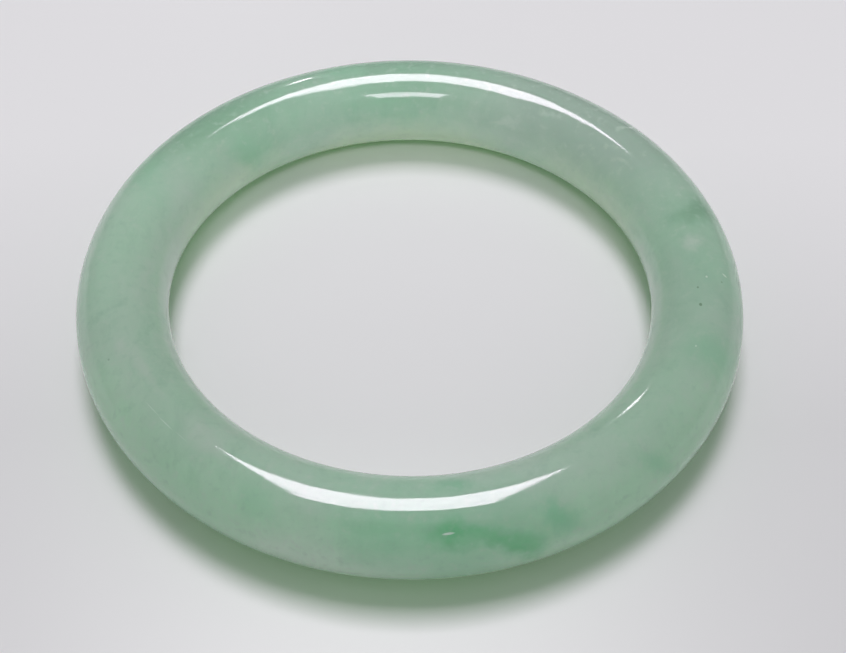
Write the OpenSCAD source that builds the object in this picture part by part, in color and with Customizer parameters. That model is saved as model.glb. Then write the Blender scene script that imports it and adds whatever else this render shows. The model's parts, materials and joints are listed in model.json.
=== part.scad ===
// Plain bangle bracelet, cut from one piece of pale green jade and polished all over.
// It is a closed ring of round bar, with no hinge, clasp or setting.
//
// Z is the axis of the ring, and the bangle lies flat on Z = 0. The origin is the middle of
// the circle on which it rests.

/* [Bangle] */
// Inner diameter, the size by which a bangle is sold
inner_d = 56; // [50:0.5:64]
// Diameter of the round bar
bar_d = 10.4; // [6:0.2:14]

/* [Hidden] */

bar_r = bar_d / 2;
// Radius of the circle along the middle of the bar
ring_r = inner_d / 2 + bar_r;
// Sides that stand for a true circle, round the ring and round the bar
ring_sides = 192;
bar_sides = 64;
jade_colour = "#9fb8a6";

// The whole bangle: the bar's round section, turned once about the ring's axis
module bangle() {
    color(jade_colour)
        translate([0, 0, bar_r])
            rotate_extrude($fn = ring_sides)
                translate([ring_r, 0])
                    circle(d = bar_d, $fn = bar_sides);
}

bangle();
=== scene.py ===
"""The looks of a pale green jade bangle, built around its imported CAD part.

All lengths are in metres and the frame is the CAD part's own: +Z is the ring's axis and
Z = 0 is the surface on which the bangle lies. A place on the bangle is given by two angles
in degrees. The turn goes round the ring from +X towards +Y. The roll goes round the bar,
from 0 at the outermost point, over 90 at the top, to 180 at the innermost point.
"""

import json
import math

import bpy
import numpy as np
from mathutils import Euler, Matrix, Vector


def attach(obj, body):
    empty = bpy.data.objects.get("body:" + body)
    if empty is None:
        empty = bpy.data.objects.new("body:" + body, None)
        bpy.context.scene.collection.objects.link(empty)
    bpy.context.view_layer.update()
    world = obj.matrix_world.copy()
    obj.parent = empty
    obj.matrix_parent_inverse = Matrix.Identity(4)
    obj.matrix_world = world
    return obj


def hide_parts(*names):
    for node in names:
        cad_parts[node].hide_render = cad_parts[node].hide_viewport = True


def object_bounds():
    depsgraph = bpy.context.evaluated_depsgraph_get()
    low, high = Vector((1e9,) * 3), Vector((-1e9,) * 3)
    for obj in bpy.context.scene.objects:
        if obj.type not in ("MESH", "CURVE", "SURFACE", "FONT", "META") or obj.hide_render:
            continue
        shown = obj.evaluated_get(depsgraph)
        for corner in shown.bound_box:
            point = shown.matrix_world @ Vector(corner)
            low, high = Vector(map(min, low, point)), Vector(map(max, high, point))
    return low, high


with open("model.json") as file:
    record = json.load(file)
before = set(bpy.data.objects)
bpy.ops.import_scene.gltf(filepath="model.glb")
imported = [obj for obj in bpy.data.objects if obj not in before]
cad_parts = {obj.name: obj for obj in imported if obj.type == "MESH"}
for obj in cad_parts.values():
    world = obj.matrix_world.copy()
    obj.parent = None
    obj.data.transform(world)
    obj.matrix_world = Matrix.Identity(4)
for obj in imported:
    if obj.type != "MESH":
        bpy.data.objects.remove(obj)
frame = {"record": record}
cad_low, cad_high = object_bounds()

MM = 0.001

# ------------------------------------------------------------ measures taken from the frame

wrist_opening = next(m for m in frame["record"]["mounts"] if m["name"] == "wrist_opening")
BAR_RADIUS = (cad_high.z - cad_low.z) / 2
RING_RADIUS = wrist_opening["dims"]["r_mm"] * MM + BAR_RADIUS
MID_HEIGHT = (cad_high.z + cad_low.z) / 2


def outward(turn):
    """Unit vector from the ring's axis towards a turn."""
    a = math.radians(turn)
    return Vector((math.cos(a), math.sin(a), 0))


def skin_normal(turn, roll):
    b = math.radians(roll)
    return outward(turn) * math.cos(b) + Vector((0, 0, math.sin(b)))


def skin_point(turn, roll):
    """The point on the true torus at a turn and a roll."""
    middle = outward(turn) * RING_RADIUS + Vector((0, 0, MID_HEIGHT))
    return middle + skin_normal(turn, roll) * BAR_RADIUS


def skin_axes(turn, roll, tilt):
    """A rotation to axes along the ring, across the bar and out of the stone.

    tilt turns the first two about the third.
    """
    along = Vector((0, 0, 1)).cross(outward(turn))
    normal = skin_normal(turn, roll)
    across = normal.cross(along)
    axes = Matrix((along, across, normal)).transposed()
    return axes @ Euler((0, 0, math.radians(tilt))).to_matrix()


# ---------------------------------------------------------------------------- node helper


class NodeGraph:
    """Short ways to add nodes to one tree. Most calls return the new node's output."""

    def __init__(self, tree):
        self.tree = tree
        tree.nodes.clear()

    def add(self, kind, inputs, **settings):
        """A node with those settings. inputs maps a socket's name or number to a value or an output."""
        node = self.tree.nodes.new(kind)
        for key, value in settings.items():
            setattr(node, key, value)
        for key, value in inputs.items():
            if isinstance(value, bpy.types.NodeSocket):
                self.tree.links.new(value, node.inputs[key])
            else:
                node.inputs[key].default_value = value
        return node

    def math(self, operation, a, b=0.0):
        return self.add("ShaderNodeMath", {0: a, 1: b}, operation=operation).outputs[0]

    def vector(self, operation, a, b):
        return self.add("ShaderNodeVectorMath", {0: a, 1: b}, operation=operation).outputs["Vector"]

    def scaled(self, a, factor):
        node = self.add("ShaderNodeVectorMath", {0: a, "Scale": factor}, operation="SCALE")
        return node.outputs["Vector"]

    def length(self, a):
        return self.add("ShaderNodeVectorMath", {0: a}, operation="LENGTH").outputs["Value"]

    def noise(self, where, scale, detail=3.0, rough=0.55, distortion=0.0):
        """A noise node, with about scale features to a unit of where."""
        inputs = {"Vector": where, "Scale": scale, "Detail": detail}
        inputs.update({"Roughness": rough, "Distortion": distortion})
        return self.add("ShaderNodeTexNoise", inputs)

    def span(self, value, low, high, to_low=0.0, to_high=1.0):
        """value's range low..high carried smoothly to to_low..to_high, and held past both ends."""
        inputs = {"Value": value, "From Min": low, "From Max": high}
        inputs.update({"To Min": to_low, "To Max": to_high})
        node = self.add("ShaderNodeMapRange", inputs, interpolation_type="SMOOTHSTEP")
        return node.outputs["Result"]

    def blend(self, a, b, share):
        """Colour a turning to colour b as share goes from 0 to 1."""
        # A Mix node has sockets for every kind of value: 6 and 7 are its colours, 2 their result
        node = self.add("ShaderNodeMix", {0: share, 6: a, 7: b}, data_type="RGBA")
        return node.outputs[2]


# ------------------------------------------------------------------------------ the stone

# Colours are linear. The body runs from greyer stone to greener, with clouds and shades in it.
BODY_GREY = (0.353, 0.532, 0.399, 1)
BODY_GREEN = (0.323, 0.551, 0.377, 1)
CLOUD = (0.43, 0.56, 0.46, 1)
# A greener tone that also paints light on the near lower side
FLANK_GREEN_AND_PAINTED_LIGHT = (0.365, 0.840, 0.435, 1)
SHADE = (0.22, 0.395, 0.275, 1)
MAUVE = (0.245, 0.345, 0.280, 1)
# Painted light: the glow of the inner lower edges, where light comes through the stone
PAINTED_INNER_GLOW = (0.43, 0.67, 0.38, 1)
# Painted light: a paler glow on the near lower side and by an inner lower edge
PAINTED_GLOW = (0.56, 0.92, 0.61, 1)
# A deep green for dark patches, also used as painted shade on the far top outer side
DEEP_AND_PAINTED_SHADE = (0.120, 0.262, 0.160, 1)
LEAF = (0.150, 0.440, 0.235, 1)
VIVID = (0.040, 0.350, 0.120, 1)
# Pale flecks, also used for a painted reflection of a thin lamp
COTTON_AND_PAINTED_GLINT = (0.68, 0.84, 0.73, 1)
SPECK = (0.10, 0.19, 0.11, 1)

REFRACTION = 1.59
# A tint on the reflections: over the green stone they then come out white, as in the photo
SHINE = (1.0, 0.84, 1.0, 1)
# Blender's random walk divides this by 4 pi, so light goes about 5 mm between two bounces
SCATTER_DEPTH = 60 * MM
# What each face lets through of a lamp's light
GLOW = (0.26, 0.39, 0.22, 1)

# Clouds and grain: features to a mm, and how much of their colour shows where they are strongest
BROAD_SCALE = 0.09
CLOUD_SCALE = 0.32
CLOUD_SHARE = 0.45
SHADE_SHARE = 0.40
GRAIN_SCALE = 0.9
GRAIN_SHARE = 0.25
# The clouds lean across the ring and are longer one way than another
CLOUD_LEAN = (0.3, 0.5, 0.9)
CLOUD_SQUEEZE = (1, 0.6, 0.8)

# A noise pushes the soft marks out of shape, by about WANDER / 2 mm at most
WANDER_SCALE = 0.35
WANDER = 3.0
# Where a mark starts to fade and where it is gone, in half widths from its middle
SOFT_FADE = (0.1, 1.2)
CRISP_FADE = (0.5, 1.0)

# Marks in the stone, and marks of painted light and painted shade: turn, roll and tilt in
# degrees, half length and half width in mm, how much of the mark's colour shows at its middle,
# and that colour. Later marks cover earlier ones.
SOFT_MARKS = [
    # Painted light and the stone's greener tone: these five lighten the near lower side, which the
    # lamps leave too dark
    (216, 8, 0, 15.0, 6.0, 0.62, FLANK_GREEN_AND_PAINTED_LIGHT),
    (243, 8, 0, 15.0, 6.0, 0.62, FLANK_GREEN_AND_PAINTED_LIGHT),
    (270, 5, 0, 20.0, 6.5, 0.60, FLANK_GREEN_AND_PAINTED_LIGHT),
    (299, 5, 0, 16.0, 6.0, 0.62, FLANK_GREEN_AND_PAINTED_LIGHT),
    (327, 8, 0, 15.0, 5.5, 0.60, FLANK_GREEN_AND_PAINTED_LIGHT),
    # Painted shade: these three darken the far top outer side, which the panel behind lights too
    # strongly
    (90, 57, 0, 22.0, 8.0, 0.95, DEEP_AND_PAINTED_SHADE),
    (52, 62, 0, 25.0, 8.0, 0.90, DEEP_AND_PAINTED_SHADE),
    (134, 64, 0, 23.0, 8.0, 0.90, DEEP_AND_PAINTED_SHADE),
    (38, 105, 0, 18.0, 8.0, 0.80, MAUVE),
    (0, 100, 0, 16.0, 8.0, 0.52, SHADE),
    (60, 122, 0, 18.0, 8.5, 0.65, MAUVE),
    (100, 114, 0, 28.0, 4.5, 0.40, SHADE),
    (268, 112, 0, 14.0, 4.0, 0.25, LEAF),
    (176, 170, 0, 13.0, 5.0, 0.45, CLOUD),
    # Painted light: this one lightens the near lower side further
    (270, -5, 0, 40.0, 5.2, 0.80, PAINTED_GLOW),
    (279, -8, 0, 7.0, 4.0, 0.40, LEAF),
    (108, 140, 0, 22.0, 7.0, 0.32, LEAF),
    (278, 38, 0, 17.0, 7.5, 0.50, LEAF),
    (266, 38, 0, 6.0, 4.5, 0.35, LEAF),
    # Painted light: these four paint a glow along the inner lower edges, where light comes through the
    # stone
    (92, 215, 0, 44.0, 4.5, 0.85, PAINTED_INNER_GLOW),
    (148, 200, 0, 17.0, 4.5, 0.70, PAINTED_INNER_GLOW),
    (34, 200, 0, 17.0, 4.5, 0.50, PAINTED_INNER_GLOW),
    (150, 214, 0, 12.0, 3.5, 0.60, PAINTED_GLOW),
    (182, 186, 0, 9.0, 3.5, 0.32, COTTON_AND_PAINTED_GLINT),
    (0, 184, 0, 9.0, 3.5, 0.32, COTTON_AND_PAINTED_GLINT),
    (14, 60, -80, 5.0, 3.2, 0.60, DEEP_AND_PAINTED_SHADE),
    (13, 92, -80, 3.6, 1.8, 0.35, DEEP_AND_PAINTED_SHADE),
    (106, 80, 0, 3.6, 2.2, 0.50, LEAF),
    (95, 158, -20, 7.0, 2.8, 0.22, LEAF),
    (135, 154, -60, 5.2, 3.2, 0.42, LEAF),
    (158, 80, 50, 9.0, 3.5, 0.30, LEAF),
    (246, 52, -30, 3.6, 2.2, 0.28, LEAF),
    (338, 64, -60, 5.2, 4.0, 0.42, LEAF),
    (279, 107, -10, 2.6, 1.3, 0.60, LEAF),
    (314, 34, -54, 4.6, 1.6, 0.38, LEAF),
    (294.5, 39, -60, 3.2, 2.4, 0.70, LEAF),
    (277.5, 46, -6, 3.8, 1.8, 0.62, VIVID),
    (283.5, 43, -20, 2.6, 1.5, 0.50, VIVID),
    (287, 26, -38, 2.8, 2.0, 0.52, VIVID),
    (289.5, 9, -46, 3.0, 2.4, 0.55, VIVID),
    (5, 99, 20, 1.7, 1.4, 0.65, CLOUD),
    (40.5, 70, 84, 2.2, 0.5, 0.50, CLOUD),
    (211, 93, 4, 4.5, 1.1, 0.50, CLOUD),
    (232, 88, -8, 6.0, 1.4, 0.40, CLOUD),
    (170, 146, 0, 0.9, 0.6, 0.50, CLOUD),
    (66, 154, 10, 1.9, 0.6, 0.35, CLOUD),
    (57, 119, 10, 1.4, 0.6, 0.35, CLOUD),
    (33, 120, 20, 1.5, 0.5, 0.35, CLOUD),
]
CRISP_MARKS = [
    (276.8, 49, 3, 0.75, 0.15, 0.75, COTTON_AND_PAINTED_GLINT),
    (357, 62, 60, 0.42, 0.16, 0.60, COTTON_AND_PAINTED_GLINT),
    (355.5, 87, 0, 0.20, 0.16, 0.65, COTTON_AND_PAINTED_GLINT),
    (337.5, 86, 0, 0.18, 0.14, 0.50, COTTON_AND_PAINTED_GLINT),
    (40.5, 62, 84, 0.50, 0.14, 0.40, COTTON_AND_PAINTED_GLINT),
    # Painted reflection: these three are a thin lamp's line of light on the top of the bar
    (220.5, 74, 2, 1.9, 0.09, 0.30, COTTON_AND_PAINTED_GLINT),
    (224.5, 73.5, 0, 1.9, 0.10, 0.45, COTTON_AND_PAINTED_GLINT),
    (228.5, 74, -2, 1.9, 0.09, 0.30, COTTON_AND_PAINTED_GLINT),
    (348, 93, 10, 0.30, 0.22, 0.80, SPECK),
    (352.5, 98, 0, 0.20, 0.16, 0.60, SPECK),
    (355, 67, 0, 0.18, 0.14, 0.45, SPECK),
    (206, 62, 0, 0.20, 0.16, 0.35, SPECK),
]


def add_marks(g, colour, place, marks, fade):
    """Blend ellipsoids into colour, each full up to where it starts to fade."""
    for turn, roll, tilt, long, wide, share, mark_colour in marks:
        inputs = {
            "Vector": place,
            "Location": skin_point(turn, roll) / MM,
            "Rotation": skin_axes(turn, roll, tilt).to_euler(),
            "Scale": (long, wide, wide),
        }
        local = g.add("ShaderNodeMapping", inputs, vector_type="TEXTURE").outputs["Vector"]
        colour = g.blend(colour, mark_colour, g.span(g.length(local), *fade, share, 0))
    return colour


def stone_colour(g, place):
    """Clouds that lean across the ring, then the marks, some of them painted light and painted
    shade, then a fine grain over everything.
    """
    inputs = {"Vector": place, "Rotation": CLOUD_LEAN, "Scale": CLOUD_SQUEEZE}
    leaning = g.add("ShaderNodeMapping", inputs).outputs["Vector"]
    broad = g.noise(leaning, BROAD_SCALE, detail=2.0).outputs[0]
    colour = g.blend(BODY_GREY, BODY_GREEN, g.span(broad, 0.36, 0.64))
    cloud = g.noise(leaning, CLOUD_SCALE, detail=4.0, rough=0.6, distortion=0.4).outputs[0]
    colour = g.blend(colour, CLOUD, g.span(cloud, 0.50, 0.78, 0, CLOUD_SHARE))
    colour = g.blend(colour, SHADE, g.span(cloud, 0.50, 0.24, 0, SHADE_SHARE))

    wander = g.noise(place, WANDER_SCALE, detail=3.0).outputs["Color"]
    shift = g.scaled(g.vector("SUBTRACT", wander, (0.5, 0.5, 0.5)), WANDER)
    colour = add_marks(g, colour, g.vector("ADD", place, shift), SOFT_MARKS, SOFT_FADE)

    grain = g.noise(place, GRAIN_SCALE, detail=3.0, rough=0.5).outputs[0]
    colour = g.blend(colour, CLOUD, g.span(grain, 0.52, 0.80, 0, GRAIN_SHARE))
    colour = g.blend(colour, SHADE, g.span(grain, 0.48, 0.20, 0, GRAIN_SHARE))
    return add_marks(g, colour, place, CRISP_MARKS, CRISP_FADE)


# The skin: smudges with this many features to a mm, between two roughnesses
SMUDGE_SCALE = 0.25
SMOOTHEST, ROUGHEST = 0.045, 0.085
# Polishing lines: how many cross a mm of skin, how long they are beside that (a smaller reach
# makes them longer), and how deep they are
LINES_PER_MM = 2.6
LINE_REACH = 1.6
LINE_DEPTH = 0.008 * MM


def polish(g, place):
    """Roughness and normal of a hand-polished skin: smudges, and fine lines round the ring."""
    smudge = g.noise(place, SMUDGE_SCALE, detail=3.0).outputs[0]
    roughness = g.span(smudge, 0.35, 0.70, SMOOTHEST, ROUGHEST)

    # Place as a direction round the ring and a distance out and up from the bar's middle, so
    # that lines follow the ring and close on themselves
    level = g.vector("MULTIPLY", place, (1, 1, 0))
    heading = g.scaled(g.vector("NORMALIZE", level, (0, 0, 0)), LINE_REACH)
    out = g.math("SUBTRACT", g.length(level), RING_RADIUS / MM)
    split = g.add("ShaderNodeSeparateXYZ", {0: heading})
    height = g.add("ShaderNodeSeparateXYZ", {0: place}).outputs["Z"]
    up = g.math("SUBTRACT", height, MID_HEIGHT / MM)
    along = g.add("ShaderNodeCombineXYZ", {0: split.outputs["X"], 1: split.outputs["Y"], 2: out})
    inputs = {"Vector": along.outputs[0], "W": up, "Scale": LINES_PER_MM, "Detail": 2.0}
    lines = g.add("ShaderNodeTexNoise", inputs, noise_dimensions="4D").outputs[0]
    bump = g.add("ShaderNodeBump", {"Height": lines, "Strength": 1.0, "Distance": LINE_DEPTH})
    return roughness, bump.outputs["Normal"]


def jade_material():
    material = bpy.data.materials.new("jade")
    material.use_nodes = True
    g = NodeGraph(material.node_tree)
    place = g.scaled(g.add("ShaderNodeTexCoord", {}).outputs["Object"], 1 / MM)
    roughness, normal = polish(g, place)
    shader = g.add(
        "ShaderNodeBsdfPrincipled",
        {
            "Base Color": stone_colour(g, place),
            "Roughness": roughness,
            "Normal": normal,
            "IOR": REFRACTION,
            "Specular Tint": SHINE,
            "Subsurface Weight": 1.0,
            "Subsurface Radius": (1, 1, 1),
            "Subsurface Scale": SCATTER_DEPTH,
        },
        subsurface_method="RANDOM_WALK",
    )
    # Lamps shine through the stone, so its shadow is green and not quite dark
    lamp_ray = g.add("ShaderNodeLightPath", {}).outputs["Is Shadow Ray"]
    glow = g.add("ShaderNodeBsdfTransparent", {"Color": GLOW})
    surface = g.add("ShaderNodeMixShader", {0: lamp_ray, 1: shader.outputs[0], 2: glow.outputs[0]})
    g.add("ShaderNodeOutputMaterial", {"Surface": surface.outputs[0]})
    return material


# ------------------------------------------------------------------------------- the ring

RING_STEPS = 720
BAR_STEPS = 112

# A bangle is ground and polished by hand, so its bar isn't a perfect circle: low waves run
# over it, and a long stretch of its near top is a little flat. The flat's place and how far it
# spreads are in degrees of turn and roll.
WAVES = 9
WAVE_HEIGHT = 0.0015 * MM
WAVE_SEED = 7
FLAT_TURN, FLAT_ROLL = 267, 82
FLAT_DEPTH = 0.10 * MM
FLAT_SPREAD_TURN, FLAT_SPREAD_ROLL = 50, 14


def bar_radius(turn, roll):
    """The bar's radius at arrays of turns and rolls, in radians."""
    dice = np.random.default_rng(WAVE_SEED)
    uneven = np.zeros(turn.shape)
    for _ in range(WAVES):
        round_ring = dice.integers(2, 9)
        round_bar = dice.integers(-3, 4)
        phase = dice.uniform(0, 2 * math.pi)
        uneven += WAVE_HEIGHT * np.cos(round_ring * turn + round_bar * roll + phase)
    off_turn = (np.degrees(turn) - FLAT_TURN + 180) % 360 - 180
    off_roll = (np.degrees(roll) - FLAT_ROLL + 180) % 360 - 180
    far = (off_turn / FLAT_SPREAD_TURN) ** 2 + (off_roll / FLAT_SPREAD_ROLL) ** 2
    uneven -= FLAT_DEPTH * np.exp(-far / 2)
    return BAR_RADIUS + uneven


def ring_mesh():
    """The bar's skin as quads: a closed grid of rings round the bar and round the ring."""
    turns = np.arange(RING_STEPS) * 2 * math.pi / RING_STEPS
    rolls = np.arange(BAR_STEPS) * 2 * math.pi / BAR_STEPS
    turn, roll = np.meshgrid(turns, rolls, indexing="ij")
    radius = bar_radius(turn, roll)
    reach = RING_RADIUS + radius * np.cos(roll)
    points = np.stack(
        [reach * np.cos(turn), reach * np.sin(turn), MID_HEIGHT + radius * np.sin(roll)], axis=-1
    )
    points[..., 2] -= points[..., 2].min() - cad_low.z
    index = np.arange(RING_STEPS * BAR_STEPS).reshape(RING_STEPS, BAR_STEPS)
    ahead = np.roll(index, -1, axis=0)
    faces = np.stack(
        [index, ahead, np.roll(ahead, -1, axis=1), np.roll(index, -1, axis=1)], axis=-1
    )
    mesh = bpy.data.meshes.new("jade_ring")
    mesh.from_pydata(points.reshape(-1, 3).tolist(), [], faces.reshape(-1, 4).tolist())
    mesh.polygons.foreach_set("use_smooth", np.ones(len(mesh.polygons), dtype=bool))
    mesh.update()
    return mesh


def make_ring(material):
    ring = bpy.data.objects.new("jade_ring", ring_mesh())
    bpy.context.collection.objects.link(ring)
    ring.data.materials.append(material)
    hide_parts("bangle")
    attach(ring, "root")
    return ring


# ------------------------------------------------------------------------------ the stage

FLOOR_SIZE = 6.0
FLOOR_COLOUR = (0.815, 0.80, 0.82, 1)
FLOOR_ROUGHNESS = 0.33
ROOM_FRONT = (0.350, 0.350, 0.360, 1)
ROOM_BEHIND = (0.16, 0.165, 0.175, 1)
# The Y of a unit vector where the room reaches one colour or the other
ROOM_FADE = 0.9


def plain_material(name, colour, roughness):
    material = bpy.data.materials.new(name)
    material.use_nodes = True
    shader = material.node_tree.nodes["Principled BSDF"]
    shader.inputs["Base Color"].default_value = colour
    shader.inputs["Roughness"].default_value = roughness
    return material


def make_sheet(name, low, high, material):
    """A flat rectangle in its own XY plane, between two corners."""
    mesh = bpy.data.meshes.new(name)
    xs = [low[0], high[0], high[0], low[0]]
    ys = [low[1], low[1], high[1], high[1]]
    corners = [(x, y, 0) for x, y in zip(xs, ys)]
    mesh.from_pydata(corners, [], [(0, 1, 2, 3)])
    mesh.materials.append(material)
    sheet = bpy.data.objects.new(name, mesh)
    bpy.context.collection.objects.link(sheet)
    return sheet


def make_floor():
    half = FLOOR_SIZE / 2
    material = plain_material("pale_floor", FLOOR_COLOUR, FLOOR_ROUGHNESS)
    floor = make_sheet("floor", (-half, -half), (half, half), material)


def make_room():
    """The room's own light: paler towards the viewer's side, -Y, than behind the bangle."""
    world = bpy.data.worlds.new("room")
    world.use_nodes = True
    g = NodeGraph(world.node_tree)
    direction = g.add("ShaderNodeTexCoord", {}).outputs["Generated"]
    north = g.add("ShaderNodeSeparateXYZ", {0: direction}).outputs["Y"]
    colour = g.blend(ROOM_FRONT, ROOM_BEHIND, g.span(north, -ROOM_FADE, ROOM_FADE))
    light = g.add("ShaderNodeBackground", {"Color": colour, "Strength": 1.0})
    g.add("ShaderNodeOutputWorld", {"Surface": light.outputs[0]})
    bpy.context.scene.world = world


# Each lamp is a flat rectangle: where its middle is, what it faces, its width and its length in
# metres, and its radiance. The panel behind gives the long highlights of the far and the near
# side, the panel in front the short streak between them, and the far lamp the two small ones.
LAMPS = {
    "panel_behind": ((-0.105, 1.09, 3.0), "floor", (1.18, 1.43), 11.2),
    "panel_in_front": ((0.105, -1.95, 3.0), "floor", (1.30, 0.92), 7.8),
    "far_lamp": ((-0.157, 0.892, 0.426), "bangle", (0.030, 0.092), 12.0),
}


def make_lamp(name, middle, faces, size, radiance):
    light = bpy.data.lights.new(name, "AREA")
    light.shape = "RECTANGLE"
    light.size, light.size_y = size
    # Blender wants a lamp's whole power in watts
    light.energy = radiance * math.pi * size[0] * size[1]
    lamp = bpy.data.objects.new(name, light)
    lamp.location = middle
    if faces == "bangle":
        lamp.rotation_euler = Vector(middle).to_track_quat("Z", "Y").to_euler()
    bpy.context.collection.objects.link(lamp)
    return lamp


def shade_only(blocker, lamp):
    """Let nothing but blocker cast a shadow in lamp's light, so that the lens card doesn't."""
    blockers = bpy.data.collections.new("blockers")
    blockers.objects.link(blocker)
    lamp.light_linking.blocker_collection = blockers


# ----------------------------------------------------------------------------- the camera

# Fitted to the ring's outline in the photo. The rise is in degrees over the floor, the tilt is
# the camera's own about its line of sight, and AIM is in the middle of the picture.
LENS_MM = 59.9
CAMERA_RISE = 49.15
CAMERA_TILT = 0.93
CAMERA_DISTANCE = 160.1 * MM
CLIP_START = 10 * MM
AIM = Vector((1.52 * MM, -6.26 * MM, MID_HEIGHT))


def make_camera():
    rise = math.radians(CAMERA_RISE)
    back = Vector((0, -math.cos(rise), math.sin(rise)))
    data = bpy.data.cameras.new("camera")
    data.lens = LENS_MM
    data.clip_start = CLIP_START
    camera = bpy.data.objects.new("camera", data)
    bpy.context.collection.objects.link(camera)
    camera.location = AIM + back * CAMERA_DISTANCE
    level = (-back).to_track_quat("-Z", "Y").to_matrix()
    tilted = level @ Euler((0, 0, math.radians(CAMERA_TILT))).to_matrix()
    camera.rotation_euler = tilted.to_euler()
    bpy.context.scene.camera = camera
    return camera


CARD_WIDTH, CARD_HEIGHT = 165 * MM, 72 * MM
# How far the card's middle is below the lens
CARD_DROP = 6 * MM
CARD_COLOUR = (0.04, 0.04, 0.04, 1)
CARD_ROUGHNESS = 0.9


def make_card(camera):
    """A dark card round the lens, for the camera body and the hands: the lens doesn't see it."""
    low = (-CARD_WIDTH / 2, -CARD_HEIGHT / 2 - CARD_DROP)
    high = (CARD_WIDTH / 2, CARD_HEIGHT / 2 - CARD_DROP)
    material = plain_material("dark_card", CARD_COLOUR, CARD_ROUGHNESS)
    card = make_sheet("lens_card", low, high, material)
    card.location = camera.location
    card.rotation_euler = camera.rotation_euler
    card.visible_camera = False


# --------------------------------------------------------------------------- all together

bpy.context.scene.view_settings.view_transform = "Standard"
make_card(make_camera())
make_floor()
make_room()
lamps = {lamp_name: make_lamp(lamp_name, *facts) for lamp_name, facts in LAMPS.items()}
shade_only(make_ring(jade_material()), lamps["panel_behind"])
